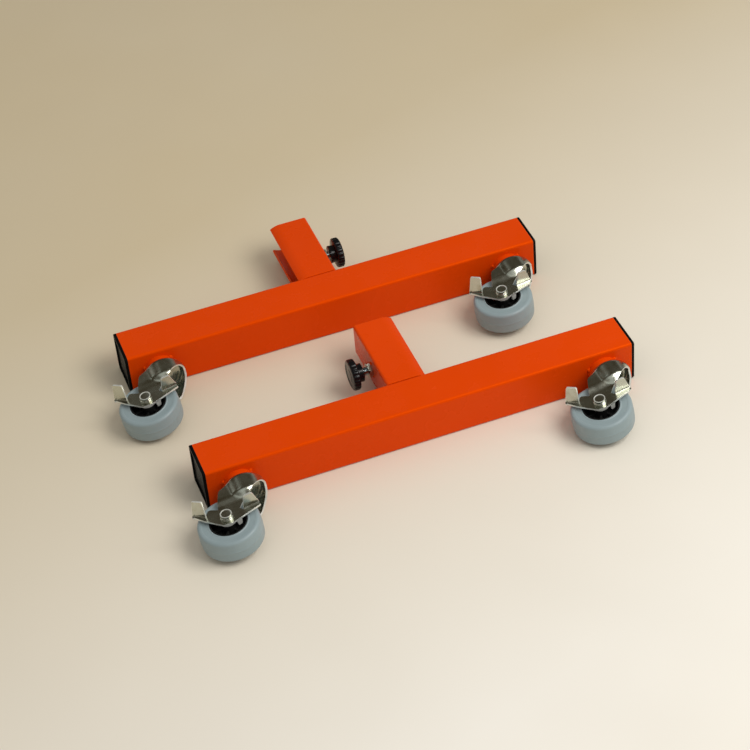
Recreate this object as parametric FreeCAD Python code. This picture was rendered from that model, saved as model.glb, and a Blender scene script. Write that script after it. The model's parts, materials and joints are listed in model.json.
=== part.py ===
import FreeCAD, Part
import math
import os

# A pair of castor crossbeams for a shop stand, lying on their sides on the floor.
# Millimetres. +X runs along the beams, +Y from the castors towards the sockets and
# +Z up from the floor. The origin is on the floor, under the middle of the front beam.
# Each castor has its own frame: swivel axis on Y, beam face at y = 0, wheel trailing to
# -X with its axle along Z. It then hangs round the swivel axis by its own sag angle.

V = FreeCAD.Vector
X_AXIS = V(1, 0, 0)
Y_AXIS = V(0, 1, 0)
Z_AXIS = V(0, 0, 1)

# Crossbeam: square tube with plastic end caps.
TUBE = 60.0
TUBE_WALL = 3.0
TUBE_CORNER = 3.5
TUBE_INNER_CORNER = 1.5
BEAM_LENGTH = 576.0
CAP_FLANGE = 4.0
CAP_RECESS = 2.0
CAP_RIM = 3.5
CAP_PLUG = 14.0
CAP_PLUG_WALL = 2.5
CAP_GAP = 0.15
CAP_EDGE = 1.2
CAP_SUNK_CORNER = 2.0
MID_Z = TUBE / 2
BEAM_FACE = TUBE / 2

# The rear unit mirrors the front one.
REAR_SHIFT = V(-30.0, 250.3, 0)
REAR_SOCKET_SHIFT = -3.3

# Column socket: an open channel standing off the beam.
SOCKET_LENGTH = 127.0
SOCKET_WIDTH = 53.0
SOCKET_HEIGHT = 47.5
SOCKET_SHEET = 3.0
SOCKET_CORNER = 3.5
LIP_RADIUS = 26.0
LIP_ANGLE = 35.0
SOCKET_Z = TUBE - SOCKET_HEIGHT / 2
WALL_OUT = -SOCKET_WIDTH / 2
WALL_IN = WALL_OUT + SOCKET_SHEET

# Clamp screw with its welded nut, swivel pad and hand knob.
SCREW_Y = 92.0
SCREW_R = 6.0
SCREW_HOLE_R = 6.5
THREAD_GAP = 0.05
NUT_ACROSS = 19.0
NUT_THICK = 6.0
NUT_CHAMFER = 0.9
FRONT_KNOB_GAP = 13.0
REAR_KNOB_GAP = 10.0
KNOB_BOSS_R = 12.5
KNOB_BOSS = 7.0
KNOB_HEAD_R = 20.75
KNOB_HEAD = 10.5
KNOB_EDGE = 3.0
KNOB_BOSS_EDGE = 0.8
KNOB_FLUTES = 16
KNOB_FLUTE_R = 3.2
KNOB_FLUTE_DEPTH = 0.7
KNOB_BORE_DEPTH = 13.0
STUD_INSIDE = 19.5
STUD_NECK_R = 4.0
STUD_NECK = 3.0
PAD_R = 9.5
PAD_THICK = 4.5
PAD_EDGE = 1.0

# Castor stack, measured out from the beam face.
CASTOR_SPAN = 247.5
BOSS_R = 21.0
BOSS_HEIGHT = 8.0
PIN_R = 6.0
PIN_HOLE_R = 6.3
PIN_REACH = 14.0
STEM_NUT = 8.0
RACE_R = 19.5
RACE_THICK = 2.2
CROWN_TOP = 11.5
BALL_R = 1.75
BALL_GAP = 0.05
BALL_CIRCLE_R = 15.0
BALL_COUNT = 16
WASHER_R = 12.0
WASHER = 2.4
HEAD_R = 9.5
HEAD = 3.6
HEAD_EDGE = 1.5
PIN_CHAMFER = 1.0
TURN_GAP = 0.1

# Pressed fork: a round crown whose waist narrows into two legs.
SHEET = 2.5
CROWN_R = 21.5
DOME_R = 8.0
FORK_R = CROWN_R + DOME_R
SHOULDER = CROWN_TOP + DOME_R
SKIRT = 32.0
WAIST = 44.0
WAIST_R = 27.3
SIDE_HALF = 24.5
TAPER_END = 54.0
LEG_HALF = 20.0
TRAIL = 34.0
DROP = 72.0
LEG_END_R = 11.0
AXLE = V(-TRAIL, -DROP, 0)
SAG = {"front_left": 6.5, "front_right": 8.4, "rear_left": 8.7, "rear_right": 5.0}

# Wheel and axle.
WHEEL_R = 40.0
WHEEL_WIDTH = 32.0
TREAD_EDGE = 4.5
TYRE_BORE_R = 24.2
TYRE_LIP = 0.6
HUB_RIM = 2.2
HUB_BOSS_R = 9.5
HUB_WEB = 5.0
HUB_RIBS = 6
RIB_THICK = 2.4
RIB_SPAN = 16.0
SLEEVE_R = 6.0
AXLE_R = 4.0
RUN_GAP = 0.05
AXLE_COLLAR_R = 8.2
AXLE_COLLAR = 4.0
AXLE_HEAD_R = 7.4
AXLE_HEAD = 3.2
AXLE_EDGE = 0.8
AXLE_NUT_ACROSS = 13.0
AXLE_NUT = 3.6

# Brake lever: a chevron plate with two upright tabs and a small claw.
LEVER_GAP = 0.1
LEVER_LOW = LEG_HALF + LEVER_GAP
LEVER_HIGH = LEVER_LOW + SHEET
PEDAL_HEIGHT = 26.5
RELEASE_HEIGHT = 19.5
TAB_CORNER = 2.0
CLAW_DEPTH = 8.0
CLAW_HALF = 4.0
CLAW_TIP_HALF = 2.5
CLAW_TIP_CORNER = 1.0
CLAW_ALONG = 9.0

# Weld beads, and the angles of the tacks round each boss.
WELD = 3.0
WELD_HOLLOW = 0.62
TACK_ANGLES = (160, 40, 280)
NUT_TACK = 2.4
NUT_TACK_ANGLES = (90, 210, 330)

# How close an edge's box must be to a face to count as lying on it.
ON_FACE = 0.01


def cylinder(radius, length, start, direction):
    return Part.makeCylinder(radius, length, start, direction)


def ring(outer, inner, length, start, direction):
    return cylinder(outer, length, start, direction).cut(cylinder(inner, length, start, direction))


def hexagon(across, length, start, direction):
    corner_r = across / math.sqrt(3)
    points = [V(corner_r * math.cos(math.radians(60 * i)), corner_r * math.sin(math.radians(60 * i)), 0)
              for i in range(7)]
    prism = Part.Face(Part.makePolygon(points)).extrude(V(0, 0, length))
    prism.Placement = FreeCAD.Placement(start, FreeCAD.Rotation(Z_AXIS, direction))
    return prism


def hex_nut(across, length, bore, start, direction):
    """A hexagon nut with both faces turned to a shallow chamfer."""
    corner_r = across / math.sqrt(3)
    chamfer = NUT_CHAMFER * (corner_r - across / 2)
    outline = [V(bore, 0, 0), V(across / 2, 0, 0), V(corner_r, 0, chamfer),
               V(corner_r, 0, length - chamfer), V(across / 2, 0, length), V(bore, 0, length)]
    turned = Part.Face(Part.makePolygon(outline + outline[:1])).revolve(V(0, 0, 0), Z_AXIS, 360)
    turned.Placement = FreeCAD.Placement(start, FreeCAD.Rotation(Z_AXIS, direction))
    return hexagon(across, length, start, direction).common(turned)


def rounded_wire(corners):
    """Closed wire through (point, radius) corners, each corner rounded by an arc."""
    edges = []
    ends = []
    count = len(corners)
    for i, (point, radius) in enumerate(corners):
        before = (corners[i - 1][0] - point).normalize()
        after = (corners[(i + 1) % count][0] - point).normalize()
        if radius == 0:
            ends.append((point, point))
            continue
        half = before.getAngle(after) / 2
        reach = radius / math.tan(half)
        start = point + before * reach
        stop = point + after * reach
        bisector = (before + after).normalize()
        middle = point + bisector * (radius / math.sin(half) - radius)
        ends.append((start, stop))
        edges.append(Part.Arc(start, middle, stop).toShape())
    for i in range(count):
        stop = ends[i][1]
        start = ends[(i + 1) % count][0]
        if stop.distanceToPoint(start) > 1e-6:
            edges.append(Part.LineSegment(stop, start).toShape())
    return Part.Wire(Part.__sortEdges__(edges))


def rounded_prism(corners, direction):
    return Part.Face(rounded_wire(corners)).extrude(direction)


def square(side, corner, x):
    """Rounded square outline across the beam, centred on its axis, at the given x."""
    half = side / 2
    return [(V(x, y, MID_Z + z), corner)
            for y, z in ((-half, -half), (half, -half), (half, half), (-half, half))]


def crossbeam():
    run = V(BEAM_LENGTH, 0, 0)
    start = -BEAM_LENGTH / 2
    tube = rounded_prism(square(TUBE, TUBE_CORNER, start), run)
    tube = tube.cut(rounded_prism(square(TUBE - 2 * TUBE_WALL, TUBE_INNER_CORNER, start), run))
    for x in (-CASTOR_SPAN, CASTOR_SPAN):
        tube = tube.cut(cylinder(PIN_HOLE_R, 2 * TUBE_WALL, V(x, -BEAM_FACE, MID_Z), Y_AXIS))
    return tube


def end_cap():
    """Cap for the +X end: a flange with a sunk face and a hollow plug."""
    end = BEAM_LENGTH / 2
    plug_side = TUBE - 2 * TUBE_WALL - 2 * CAP_GAP
    flange = rounded_prism(square(TUBE, TUBE_CORNER, end), V(CAP_FLANGE, 0, 0))
    outer_edges = [edge for edge in flange.Edges if edge.BoundBox.XMin > end + CAP_FLANGE - ON_FACE]
    flange = flange.makeFillet(CAP_EDGE, outer_edges)
    sunk_side = TUBE - 2 * CAP_RIM
    flange = flange.cut(rounded_prism(square(sunk_side, CAP_SUNK_CORNER, end + CAP_FLANGE - CAP_RECESS),
                                      V(CAP_RECESS, 0, 0)))
    plug = rounded_prism(square(plug_side, CAP_EDGE, end - CAP_PLUG), V(CAP_PLUG, 0, 0))
    hollow_side = plug_side - 2 * CAP_PLUG_WALL
    plug = plug.cut(rounded_prism(square(hollow_side, CAP_EDGE, end - CAP_PLUG), V(CAP_PLUG, 0, 0)))
    return flange.fuse(plug).removeSplitter()


def end_caps():
    cap = end_cap()
    return Part.makeCompound([cap, mirrored(cap)])


def mirrored(shape):
    return shape.mirror(V(0, 0, 0), X_AXIS)


def lip_point(radius, angle):
    """Point on the top lip's bend, by angle from straight up."""
    centre_x = -WALL_OUT - LIP_RADIUS * math.sin(math.radians(LIP_ANGLE))
    centre_z = TUBE - LIP_RADIUS
    return V(centre_x + radius * math.sin(math.radians(angle)), BEAM_FACE,
             centre_z + radius * math.cos(math.radians(angle)))


def across_socket(point):
    """The same point on the socket's lower half."""
    return V(point.x, point.y, 2 * SOCKET_Z - point.z)


def socket():
    """Open channel: flat wall on -X, two flanges whose ends curl in towards each other."""
    inner_r = LIP_RADIUS - SOCKET_SHEET
    outer = [lip_point(LIP_RADIUS, a) for a in (0, LIP_ANGLE / 2, LIP_ANGLE)]
    inner = [lip_point(inner_r, a) for a in (0, LIP_ANGLE / 2, LIP_ANGLE)]
    wall_top = V(WALL_OUT, BEAM_FACE, TUBE)
    wall_inner = V(WALL_IN, BEAM_FACE, TUBE - SOCKET_SHEET)
    edges = [Part.Arc(*outer).toShape(), Part.LineSegment(outer[2], inner[2]).toShape(),
             Part.Arc(*inner).toShape()]
    edges += [Part.Arc(*[across_socket(p) for p in outer]).toShape(),
              Part.LineSegment(across_socket(outer[2]), across_socket(inner[2])).toShape(),
              Part.Arc(*[across_socket(p) for p in inner]).toShape()]
    for path in ([outer[0], wall_top, across_socket(wall_top), across_socket(outer[0])],
                 [inner[0], wall_inner, across_socket(wall_inner), across_socket(inner[0])]):
        edges += [Part.LineSegment(a, b).toShape() for a, b in zip(path, path[1:])]
    channel = Part.Face(Part.Wire(Part.__sortEdges__(edges))).extrude(V(0, SOCKET_LENGTH, 0))
    corners = [edge for edge in channel.Edges
               if edge.BoundBox.XMax < WALL_OUT + ON_FACE and edge.BoundBox.YLength > SOCKET_LENGTH - 1]
    channel = channel.makeFillet(SOCKET_CORNER, corners)
    return channel.cut(cylinder(SCREW_HOLE_R, SOCKET_SHEET, V(WALL_OUT, SCREW_Y, SOCKET_Z), X_AXIS))


def bosses():
    """Round spacers welded on the beam's face under each castor."""
    return Part.makeCompound([ring(BOSS_R, PIN_HOLE_R, BOSS_HEIGHT, V(x, -BEAM_FACE, MID_Z), -Y_AXIS)
                              for x in (-CASTOR_SPAN, CASTOR_SPAN)])


def fillet_bead(start, run, side_a, side_b):
    """Quarter-round bead in a corner, running along it, between two perpendicular faces."""
    edge_a = start + side_a * WELD
    edge_b = start + side_b * WELD
    middle = start + (side_a + side_b) * (WELD * WELD_HOLLOW)
    wire = Part.Wire([Part.LineSegment(start, edge_a).toShape(),
                      Part.Arc(edge_a, middle, edge_b).toShape(),
                      Part.LineSegment(edge_b, start).toShape()])
    return Part.Face(wire).extrude(run)


def boss_tack(x, angle):
    """Drop of weld in the corner between a boss and the beam's face."""
    centre = V(x + BOSS_R * math.cos(math.radians(angle)), -BEAM_FACE,
               MID_Z + BOSS_R * math.sin(math.radians(angle)))
    drop = Part.makeSphere(WELD, centre)
    drop = drop.cut(cylinder(BOSS_R, BOSS_HEIGHT, V(x, -BEAM_FACE, MID_Z), -Y_AXIS))
    return drop.cut(Part.makeBox(4 * WELD, 2 * WELD, 4 * WELD, centre - V(2 * WELD, 0, 2 * WELD)))


def nut_tack(angle):
    """Drop of weld in the corner between the clamp nut and the socket's wall."""
    across = NUT_ACROSS / 2
    centre = V(WALL_OUT, SCREW_Y + across * math.cos(math.radians(angle)),
               SOCKET_Z + across * math.sin(math.radians(angle)))
    drop = Part.makeSphere(NUT_TACK, centre)
    drop = drop.cut(hexagon(NUT_ACROSS, NUT_THICK, V(WALL_OUT, SCREW_Y, SOCKET_Z), -X_AXIS))
    return drop.cut(Part.makeBox(2 * WELD, 4 * WELD, 4 * WELD, centre - V(0, 2 * WELD, 2 * WELD)))


def boss_tacks():
    return [boss_tack(x, angle) for x in (-CASTOR_SPAN, CASTOR_SPAN) for angle in TACK_ANGLES]


def socket_welds():
    """Beads round the socket's foot and tacks round the clamp nut; none on the flush top."""
    low = TUBE - SOCKET_HEIGHT
    wall_run = SOCKET_HEIGHT - 2 * SOCKET_CORNER
    foot = V(WALL_OUT, BEAM_FACE, low + SOCKET_CORNER)
    beads = [fillet_bead(foot, V(0, 0, wall_run), -X_AXIS, Y_AXIS)]
    flange_run = SOCKET_WIDTH - SOCKET_CORNER - LIP_RADIUS * math.sin(math.radians(LIP_ANGLE))
    beads.append(fillet_bead(V(WALL_OUT + SOCKET_CORNER, BEAM_FACE, low), V(flange_run, 0, 0),
                             -Z_AXIS, Y_AXIS))
    beads.append(fillet_bead(V(WALL_IN, BEAM_FACE, low + 2 * SOCKET_SHEET),
                             V(0, 0, SOCKET_HEIGHT - 4 * SOCKET_SHEET), X_AXIS, Y_AXIS))
    return beads + [nut_tack(angle) for angle in NUT_TACK_ANGLES]


def clamp_nut():
    return hex_nut(NUT_ACROSS, NUT_THICK, SCREW_R + THREAD_GAP, V(WALL_OUT, SCREW_Y, SOCKET_Z), -X_AXIS)


def stud(knob_gap):
    """Clamp screw: from inside the knob, through the nut, to a turned-down tip in the pad."""
    start = WALL_OUT - knob_gap - KNOB_BORE_DEPTH
    length = STUD_INSIDE + KNOB_BORE_DEPTH
    body = cylinder(SCREW_R, length, V(start, SCREW_Y, SOCKET_Z), X_AXIS)
    tip = cylinder(STUD_NECK_R, STUD_NECK, V(start + length, SCREW_Y, SOCKET_Z), X_AXIS)
    return body.fuse(tip).removeSplitter()


def pad(knob_gap):
    """Round swivel pad with a blind bore for the screw's tip."""
    start = WALL_OUT - knob_gap + STUD_INSIDE + TURN_GAP
    disc = cylinder(PAD_R, PAD_THICK, V(start, SCREW_Y, SOCKET_Z), X_AXIS)
    face_edges = [edge for edge in disc.Edges if edge.BoundBox.XMin > start + PAD_THICK - ON_FACE]
    disc = disc.makeFillet(PAD_EDGE, face_edges)
    return disc.cut(cylinder(STUD_NECK_R + RUN_GAP, STUD_NECK, V(start, SCREW_Y, SOCKET_Z), X_AXIS))


def knob(knob_gap):
    """Turned hand knob: boss, disc head with a rolled rim and shallow finger flutes."""
    boss_face = WALL_OUT - knob_gap
    under = -KNOB_BOSS
    top = under - KNOB_HEAD
    outline = [(V(0, 0, 0), 0), (V(0, KNOB_BOSS_R, 0), KNOB_BOSS_EDGE), (V(under, KNOB_BOSS_R, 0), 0),
               (V(under, KNOB_HEAD_R, 0), KNOB_EDGE), (V(top, KNOB_HEAD_R, 0), KNOB_EDGE),
               (V(top, 0, 0), 0)]
    body = Part.Face(rounded_wire(outline)).revolve(V(0, 0, 0), X_AXIS, 360)
    flute_circle = KNOB_HEAD_R + KNOB_FLUTE_R - KNOB_FLUTE_DEPTH
    for i in range(KNOB_FLUTES):
        angle = 2 * math.pi * i / KNOB_FLUTES
        centre = V(top, flute_circle * math.cos(angle), flute_circle * math.sin(angle))
        body = body.cut(cylinder(KNOB_FLUTE_R, KNOB_HEAD, centre, X_AXIS))
    body = body.cut(cylinder(SCREW_R, KNOB_BORE_DEPTH, V(0, 0, 0), -X_AXIS))
    body.translate(V(boss_face, SCREW_Y, SOCKET_Z))
    return body


def kingpin():
    """Swivel pin: shank through fork, race, boss and tube wall, washer and head below."""
    washer_top = CROWN_TOP + SHEET + TURN_GAP
    length = washer_top + TUBE_WALL + PIN_REACH
    shank = cylinder(PIN_R, length, V(0, -washer_top, 0), Y_AXIS)
    shank = shank.makeChamfer(PIN_CHAMFER, [edge for edge in shank.Edges
                                    if edge.BoundBox.YMin > length - washer_top - ON_FACE])
    washer = cylinder(WASHER_R, WASHER, V(0, -washer_top, 0), -Y_AXIS)
    head = cylinder(HEAD_R, HEAD, V(0, -washer_top - WASHER, 0), -Y_AXIS)
    head_edges = [edge for edge in head.Edges
                  if edge.BoundBox.YMax < -washer_top - WASHER - HEAD + ON_FACE]
    head = head.makeFillet(HEAD_EDGE, head_edges)
    return shank.fuse(washer).fuse(head).removeSplitter()


def ball_centre():
    return V(BALL_CIRCLE_R, -(BOSS_HEIGHT + RACE_THICK + CROWN_TOP) / 2, 0)


def ball_track():
    return Part.makeTorus(BALL_CIRCLE_R, BALL_R + BALL_GAP, V(0, ball_centre().y, 0), Y_AXIS)


def race():
    plate = ring(RACE_R, PIN_R, RACE_THICK, V(0, -BOSS_HEIGHT, 0), -Y_AXIS)
    return plate.cut(ball_track())


def balls():
    turns = [FreeCAD.Rotation(Y_AXIS, 360.0 * i / BALL_COUNT) for i in range(BALL_COUNT)]
    return Part.makeCompound([Part.makeSphere(BALL_R, turn.multVec(ball_centre())) for turn in turns])


def crown_section(inset):
    """Half of the round crown's profile, from the swivel axis out over the dome and down."""
    radius = DOME_R - inset
    centre = V(0, -SHOULDER, CROWN_R)
    diagonal = radius * math.sqrt(0.5)
    crown_edge = V(0, -CROWN_TOP - inset, CROWN_R)
    side = V(0, -SHOULDER, FORK_R - inset)
    path = [side, V(0, -SKIRT, FORK_R - inset), V(0, -WAIST, WAIST_R - inset),
            V(0, -TAPER_END, LEG_HALF - inset), V(0, -TAPER_END, 0), V(0, -CROWN_TOP - inset, 0),
            crown_edge]
    edges = [Part.LineSegment(a, b).toShape() for a, b in zip(path, path[1:])]
    edges.append(Part.Arc(crown_edge, centre + V(0, diagonal, diagonal), side).toShape())
    return Part.Face(Part.Wire(Part.__sortEdges__(edges)))


def leg_section(inset):
    """Half of the profile across both legs, running on past the axle."""
    low = -(DROP + 2 * LEG_END_R)
    path = [V(0, -SHOULDER, 0), V(0, -SHOULDER, SIDE_HALF - inset), V(0, -WAIST, SIDE_HALF - inset),
            V(0, -TAPER_END, LEG_HALF - inset), V(0, low, LEG_HALF - inset), V(0, low, 0)]
    return Part.Face(Part.makePolygon(path + path[:1]))


def fork_solid(inset):
    """Round crown about the swivel axis, with a straight-sided body for the legs."""
    crown = crown_section(inset).revolve(V(0, 0, 0), Y_AXIS, 360)
    side = leg_section(inset).extrude(V(-2 * TRAIL, 0, 0))
    return crown.fuse(side).fuse(side.mirror(V(0, 0, 0), Z_AXIS))


def tangent_point(point, side):
    """Where a line from the point touches the round end of the leg."""
    away = point - AXLE
    turn = math.acos(LEG_END_R / away.Length) * side
    angle = math.atan2(away.y, away.x) + turn
    return AXLE + V(math.cos(angle), math.sin(angle), 0) * LEG_END_R


def leg_outline():
    """Side view kept from the pressed shell: hood, swept arch in front, round axle ends."""
    front = FORK_R + 5
    front_high = V(28, -23, 0)
    front_low = V(-16.5, -65, 0)
    rear_high = V(-39, -49, 0)
    corners = [(V(-13, -SHOULDER, 0), 6), (V(-40, 0, 0), 0), (V(front, 0, 0), 0),
               (V(front, front_high.y, 0), 0), (front_high, 8), (V(9, -43, 0), 20), (V(-8, -54, 0), 16),
               (front_low, 0), (tangent_point(front_low, -1), 0), (AXLE, 0),
               (tangent_point(rear_high, 1), 0), (rear_high, 12), (V(-31, -27, 0), 8)]
    below = V(0, 0, -FORK_R)
    side = rounded_prism([(point + below, radius) for point, radius in corners], V(0, 0, 2 * FORK_R))
    return side.fuse(cylinder(LEG_END_R, 2 * FORK_R, AXLE + below, Z_AXIS))


def fork():
    shell = fork_solid(0).cut(fork_solid(SHEET)).common(leg_outline())
    shell = shell.cut(ball_track())
    shell = shell.cut(cylinder(PIN_R + RUN_GAP, 2 * SHEET, V(0, -CROWN_TOP + SHEET / 2, 0), -Y_AXIS))
    shell = shell.cut(cylinder(AXLE_R, 2 * FORK_R, AXLE - V(0, 0, FORK_R), Z_AXIS))
    return shell.removeSplitter()


def tyre():
    half = WHEEL_WIDTH / 2
    outline = [(V(TYRE_BORE_R, 0, -half), TYRE_LIP), (V(WHEEL_R, 0, -half), TREAD_EDGE),
               (V(WHEEL_R, 0, half), TREAD_EDGE), (V(TYRE_BORE_R, 0, half), TYRE_LIP)]
    body = Part.Face(rounded_wire(outline)).revolve(V(0, 0, 0), Z_AXIS, 360)
    body.translate(AXLE)
    return body


def hub():
    """Plastic hub: rim under the tyre, thin web, ribs and a long bearing boss."""
    half = WHEEL_WIDTH / 2 - TYRE_LIP
    boss_half = LEG_HALF - SHEET - TURN_GAP
    rim = ring(TYRE_BORE_R, TYRE_BORE_R - HUB_RIM, 2 * half, AXLE - V(0, 0, half), Z_AXIS)
    web = cylinder(TYRE_BORE_R - HUB_RIM, HUB_WEB, AXLE - V(0, 0, HUB_WEB / 2), Z_AXIS)
    boss = cylinder(HUB_BOSS_R, 2 * boss_half, AXLE - V(0, 0, boss_half), Z_AXIS)
    body = rim.fuse(web).fuse(boss)
    rib_start = V(0, -RIB_THICK / 2, -RIB_SPAN / 2)
    rib = Part.makeBox(TYRE_BORE_R - HUB_RIM / 2, RIB_THICK, RIB_SPAN, rib_start)
    for i in range(HUB_RIBS):
        turned = rib.copy()
        turned.rotate(V(0, 0, 0), Z_AXIS, 360.0 * i / HUB_RIBS)
        turned.translate(AXLE)
        body = body.fuse(turned)
    body = body.cut(cylinder(SLEEVE_R + RUN_GAP, 4 * boss_half, AXLE - V(0, 0, 2 * boss_half), Z_AXIS))
    return body.removeSplitter()


def sleeve():
    length = 2 * (LEG_HALF - SHEET)
    return ring(SLEEVE_R, AXLE_R, length, AXLE - V(0, 0, length / 2), Z_AXIS)


def axle():
    """Axle bolt: shank right through, wide collar over the lever and a round head on it."""
    low = -LEG_HALF - AXLE_NUT
    collar_low = LEVER_HIGH + LEVER_GAP
    head_low = collar_low + AXLE_COLLAR
    top = head_low + AXLE_HEAD
    shank = cylinder(AXLE_R, collar_low - low, AXLE + V(0, 0, low), Z_AXIS)
    collar = cylinder(AXLE_COLLAR_R, AXLE_COLLAR, AXLE + V(0, 0, collar_low), Z_AXIS)
    head = cylinder(AXLE_HEAD_R, AXLE_HEAD, AXLE + V(0, 0, head_low), Z_AXIS)
    collar = collar.makeFillet(AXLE_EDGE, [edge for edge in collar.Edges
                                           if edge.BoundBox.ZMin > head_low - ON_FACE])
    head = head.makeFillet(AXLE_EDGE, [edge for edge in head.Edges if edge.BoundBox.ZMin > top - ON_FACE])
    return shank.fuse(collar).fuse(head).removeSplitter()


def axle_nut():
    return hex_nut(AXLE_NUT_ACROSS, AXLE_NUT, AXLE_R, AXLE - V(0, 0, LEG_HALF), -Z_AXIS)


def stem_nuts():
    """Nuts inside the tube that hold the kingpins."""
    seat = -BEAM_FACE + TUBE_WALL
    return Part.makeCompound([hex_nut(NUT_ACROSS, STEM_NUT, PIN_R, V(x, seat, MID_Z), Y_AXIS)
                              for x in (-CASTOR_SPAN, CASTOR_SPAN)])


def tab(near, far, height, lean_near, lean_far):
    """Upright tab on the plate's edge from near to far, its top corners leaning along the edge."""
    along = (far - near).normalize()
    low = V(0, 0, LEVER_LOW)
    top = V(0, 0, LEVER_HIGH + height)
    points = [(near + low, 0), (near + along * lean_near + top, TAB_CORNER),
              (far + along * lean_far + top, TAB_CORNER), (far + low, 0)]
    return rounded_prism(points, along.cross(Z_AXIS) * SHEET)


def claw(root, along):
    """Small tongue bent down from the plate's edge into the wheel's hub."""
    top = V(0, 0, LEVER_HIGH)
    tip = V(0, 0, LEVER_LOW - CLAW_DEPTH)
    points = [(root - along * CLAW_HALF + top, 0), (root + along * CLAW_HALF + top, 0),
              (root + along * CLAW_TIP_HALF + tip, CLAW_TIP_CORNER),
              (root - along * CLAW_TIP_HALF + tip, CLAW_TIP_CORNER)]
    return rounded_prism(points, Z_AXIS.cross(along) * SHEET)


def lever():
    """Chevron plate on the axle, pedal tab at the back, release tab in front, claw between."""
    pedal_near = V(-70, -46.5, 0)
    pedal_far = V(-56, -57, 0)
    release_near = V(-11, -66, 0)
    release_far = V(9.5, -65, 0)
    low_front = V(11, -71.5, 0)
    low_rear = V(-29.5, -83.5, 0)
    corners = [(pedal_near, 0), (pedal_far, 0), (V(-51.5, -48.5, 0), 4), (V(-41.5, -54.3, 0), 4),
               (V(-15, -64.5, 0), 6), (release_near, 0), (release_far, 0), (low_front, 4),
               (low_rear, 6), (V(-41.5, -82.5, 0), 6), (V(-61, -63.5, 0), 8), (V(-72.5, -49, 0), 1.5)]
    plate = rounded_prism([(point + V(0, 0, LEVER_LOW), radius) for point, radius in corners],
                          V(0, 0, SHEET))
    along = (low_front - low_rear).normalize()
    body = plate.fuse(tab(pedal_near, pedal_far, PEDAL_HEIGHT, 4.5, 0.5))
    body = body.fuse(tab(release_near, release_far, RELEASE_HEIGHT, 4.0, -5.5))
    body = body.fuse(claw(low_rear + along * CLAW_ALONG, along))
    body = body.cut(cylinder(AXLE_R + RUN_GAP, 4 * SHEET, AXLE + V(0, 0, LEVER_LOW - SHEET), Z_AXIS))
    return body.removeSplitter()


def save(shape, name):
    shape.exportStep("parts/" + name + ".step")


def save_castor(name, x, shift):
    """Write one castor; what turns on the swivel hangs by its sag, the kingpin and race stay."""
    place = shift + V(x, -BEAM_FACE, MID_Z)
    turning = {"fork": fork(), "balls": balls(), "axle": axle(), "axle_nut": axle_nut(),
               "lever": lever(), "sleeve": sleeve(), "hub": hub(), "tyre": tyre()}
    for piece, shape in turning.items():
        shape.rotate(V(0, 0, 0), Y_AXIS, -SAG[name])
        save(shape.translated(place), name + "_" + piece)
    save(kingpin().translated(place), name + "_kingpin")
    save(race().translated(place), name + "_race")


def save_unit(name, shift, socket_shift, knob_gap, flip):
    """Write one crossbeam unit; flip puts the socket's wall and knob on +X instead of -X."""
    def on_socket(shape):
        side = mirrored(shape) if flip else shape
        return side.translated(shift + V(socket_shift, 0, 0))

    beam_pieces = {"crossbeam": crossbeam(), "end_caps": end_caps(), "bosses": bosses(),
                   "stem_nuts": stem_nuts()}
    socket_pieces = {"socket": socket(), "clamp_nut": clamp_nut(), "stud": stud(knob_gap),
                     "knob": knob(knob_gap), "pad": pad(knob_gap)}
    beads = [bead.translated(shift) for bead in boss_tacks()]
    beads += [on_socket(bead) for bead in socket_welds()]
    save(Part.makeCompound(beads), name + "_welds")
    for piece, shape in beam_pieces.items():
        save(shape.translated(shift), name + "_" + piece)
    for piece, shape in socket_pieces.items():
        save(on_socket(shape), name + "_" + piece)


os.makedirs("parts", exist_ok=True)
save_unit("front", V(0, 0, 0), 0.0, FRONT_KNOB_GAP, False)
save_unit("rear", REAR_SHIFT, REAR_SOCKET_SHIFT, REAR_KNOB_GAP, True)
save_castor("front_left", -CASTOR_SPAN, V(0, 0, 0))
save_castor("front_right", CASTOR_SPAN, V(0, 0, 0))
save_castor("rear_left", -CASTOR_SPAN, REAR_SHIFT)
save_castor("rear_right", CASTOR_SPAN, REAR_SHIFT)
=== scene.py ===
import json
import math
import random

import bmesh
import bpy
from mathutils import Matrix, Quaternion, Vector


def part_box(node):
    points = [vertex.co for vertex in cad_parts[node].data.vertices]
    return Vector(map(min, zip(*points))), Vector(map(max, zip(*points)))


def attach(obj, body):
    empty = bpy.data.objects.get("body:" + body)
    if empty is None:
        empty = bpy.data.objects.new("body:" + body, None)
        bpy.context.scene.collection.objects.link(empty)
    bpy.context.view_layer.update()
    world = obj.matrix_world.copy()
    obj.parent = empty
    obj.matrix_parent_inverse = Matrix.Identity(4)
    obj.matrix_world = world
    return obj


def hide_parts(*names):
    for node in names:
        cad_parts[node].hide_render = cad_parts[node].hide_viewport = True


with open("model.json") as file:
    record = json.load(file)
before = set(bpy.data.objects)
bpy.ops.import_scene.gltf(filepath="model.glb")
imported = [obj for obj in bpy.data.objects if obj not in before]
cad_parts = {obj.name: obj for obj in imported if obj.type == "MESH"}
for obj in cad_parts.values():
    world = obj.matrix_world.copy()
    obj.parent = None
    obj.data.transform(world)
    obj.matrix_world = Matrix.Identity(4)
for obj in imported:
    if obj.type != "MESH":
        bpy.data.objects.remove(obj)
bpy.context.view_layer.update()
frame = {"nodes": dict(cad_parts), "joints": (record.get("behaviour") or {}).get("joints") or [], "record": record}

# Pair of castor crossbeams lying on a pale floor. The frame is in metres. A castor's pieces are
# drawn in millimetres in the castor's own frame (swivel axis on Y, axle along Z, wheel trailing
# to -X) and placed by its matrix, and a knob and its screw likewise in the clamp screw's frame.
CASTORS = ("front_left", "front_right", "rear_left", "rear_right")
UNITS = ("front", "rear")
JOINTS = {joint["name"]: joint for joint in frame["joints"]}
MM = 0.001

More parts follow.
